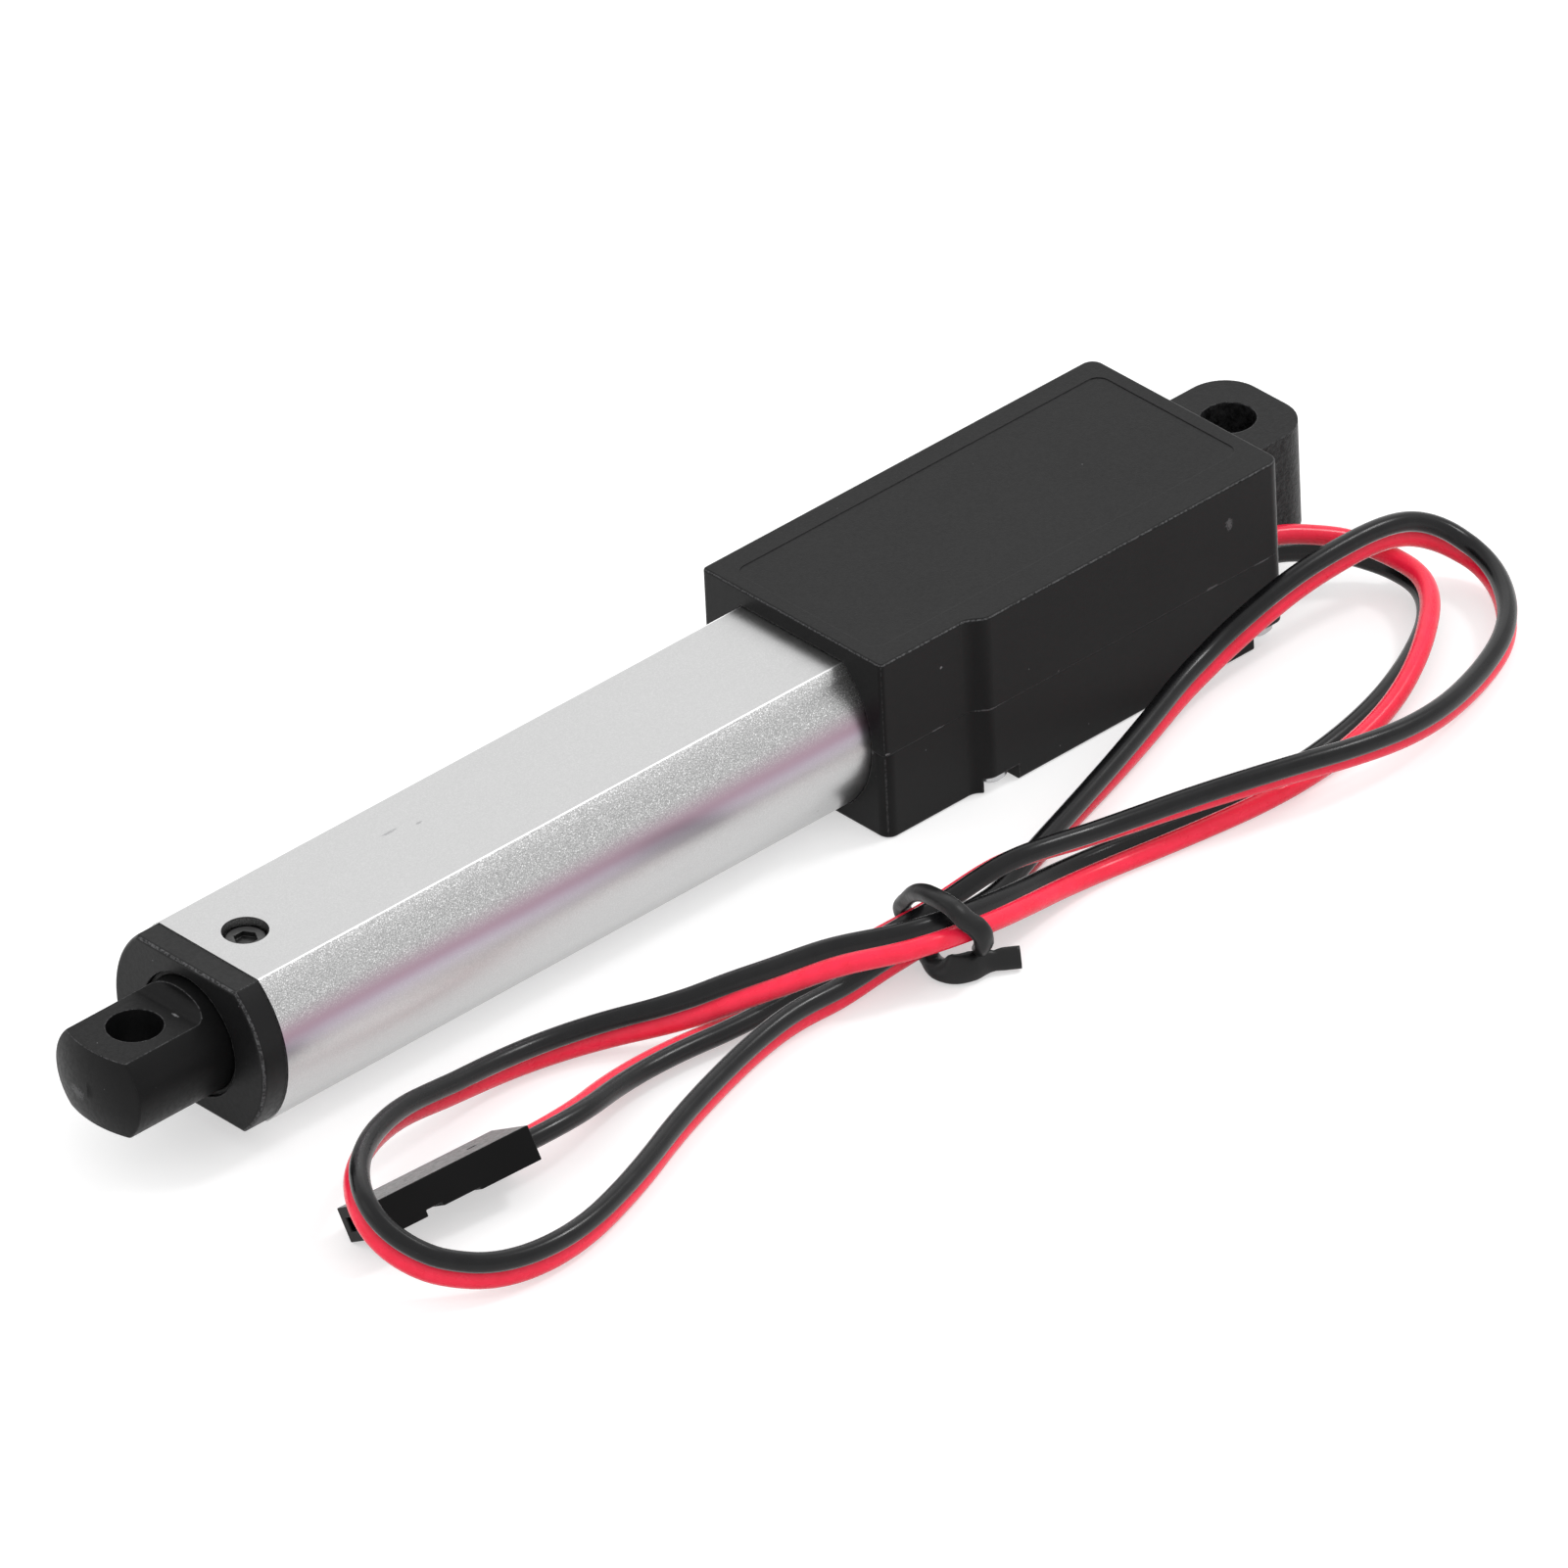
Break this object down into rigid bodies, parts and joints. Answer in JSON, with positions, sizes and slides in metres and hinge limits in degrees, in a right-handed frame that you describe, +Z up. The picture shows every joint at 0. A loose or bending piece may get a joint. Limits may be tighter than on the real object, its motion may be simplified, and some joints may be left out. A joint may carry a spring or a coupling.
{
  "type": "miniature linear actuator",
  "caption": "Miniature electric linear actuator: boxy motor housing with a mounting lug, double-D tube, sliding rod with a flattened eye, and a bundled two-wire lead with a connector.",
  "frame": {"origin": "centre of the rear mounting hole, at the housing's mid height", "axes": "+X towards the rod's eye along the rod's axis, +Z up, parallel to both mounting holes"},
  "size_m": [0.1167, 0.0408, 0.0144],
  "materials": {
    "black_plastic": "satin",
    "brushed_aluminium": "satin",
    "steel": "satin",
    "brass": "satin",
    "magnet": "matte",
    "nut_plastic": "matte",
    "board": "satin",
    "diode_black": "matte",
    "wire_insulation": "satin",
    "seal_rubber": "matte"
  },
  "bodies": {
    "housing": {"upper_housing": "black_plastic", "lower_housing": "black_plastic", "housing_screws": "steel", "tube": "brushed_aluminium", "front_cap": "black_plastic", "cap_screw": "steel", "rod_seal": "seal_rubber", "screw_bearing": "brass", "gearbox_rear_plate": "brass", "gearbox_front_plate": "brass", "gearbox_posts": "brass", "gear_axle": "steel", "motor_can": "steel", "motor_magnets": "magnet", "motor_end_cap": "black_plastic", "motor_terminals": "brass", "limit_board": "board", "limit_contacts": "brass", "board_diodes": "diode_black", "inner_wires": "wire_insulation", "power_lead": "wire_insulation", "connector_housing": "black_plastic", "connector_contacts": "brass", "cable_tie": "black_plastic"},
    "rod_unit": {"rod": "black_plastic", "drive_nut": "nut_plastic"},
    "screw_unit": {"lead_screw": "steel", "screw_coupling": "brass", "output_gear": "brass"},
    "first_gear_unit": {"first_gear": "brass"},
    "second_gear_unit": {"second_gear": "brass"},
    "third_gear_unit": {"third_gear": "brass"},
    "rotor_unit": {"motor_rotor": "steel"}
  },
  "joints": [
    {"name": "rod_slide", "type": "slide", "parent": "housing", "child": "rod_unit", "axis": [1, 0, 0], "range_m": [0, 0.05]},
    {"name": "lead_screw_spin", "type": "hinge", "parent": "housing", "child": "screw_unit", "pos_m": [0.02, 0, 0], "axis": [1, 0, 0], "range_deg": [-9000.01, 0]},
    {"name": "third_gear_spin", "type": "hinge", "parent": "housing", "child": "third_gear_unit", "pos_m": [0.02, -0.0034, 0], "axis": [1, 0, 0], "range_deg": [0, 21600.01]},
    {"name": "second_gear_spin", "type": "hinge", "parent": "housing", "child": "second_gear_unit", "pos_m": [0.02, 0, 0], "axis": [1, 0, 0], "range_deg": [-51840.01, 0]},
    {"name": "first_gear_spin", "type": "hinge", "parent": "housing", "child": "first_gear_unit", "pos_m": [0.02, -0.0034, 0], "axis": [1, 0, 0], "range_deg": [0, 124416.01]},
    {"name": "motor_spin", "type": "hinge", "parent": "housing", "child": "rotor_unit", "pos_m": [0.02, 0, 0], "axis": [1, 0, 0], "range_deg": [-298598.41, 0]}
  ],
  "couplings": [
    {"joint": "lead_screw_spin", "follows": "rod_slide", "rad_per_m": -3141.6},
    {"joint": "third_gear_spin", "follows": "rod_slide", "rad_per_m": 7539.8},
    {"joint": "second_gear_spin", "follows": "rod_slide", "rad_per_m": -18096},
    {"joint": "first_gear_spin", "follows": "rod_slide", "rad_per_m": 43429},
    {"joint": "motor_spin", "follows": "rod_slide", "rad_per_m": -104230}
  ]
}
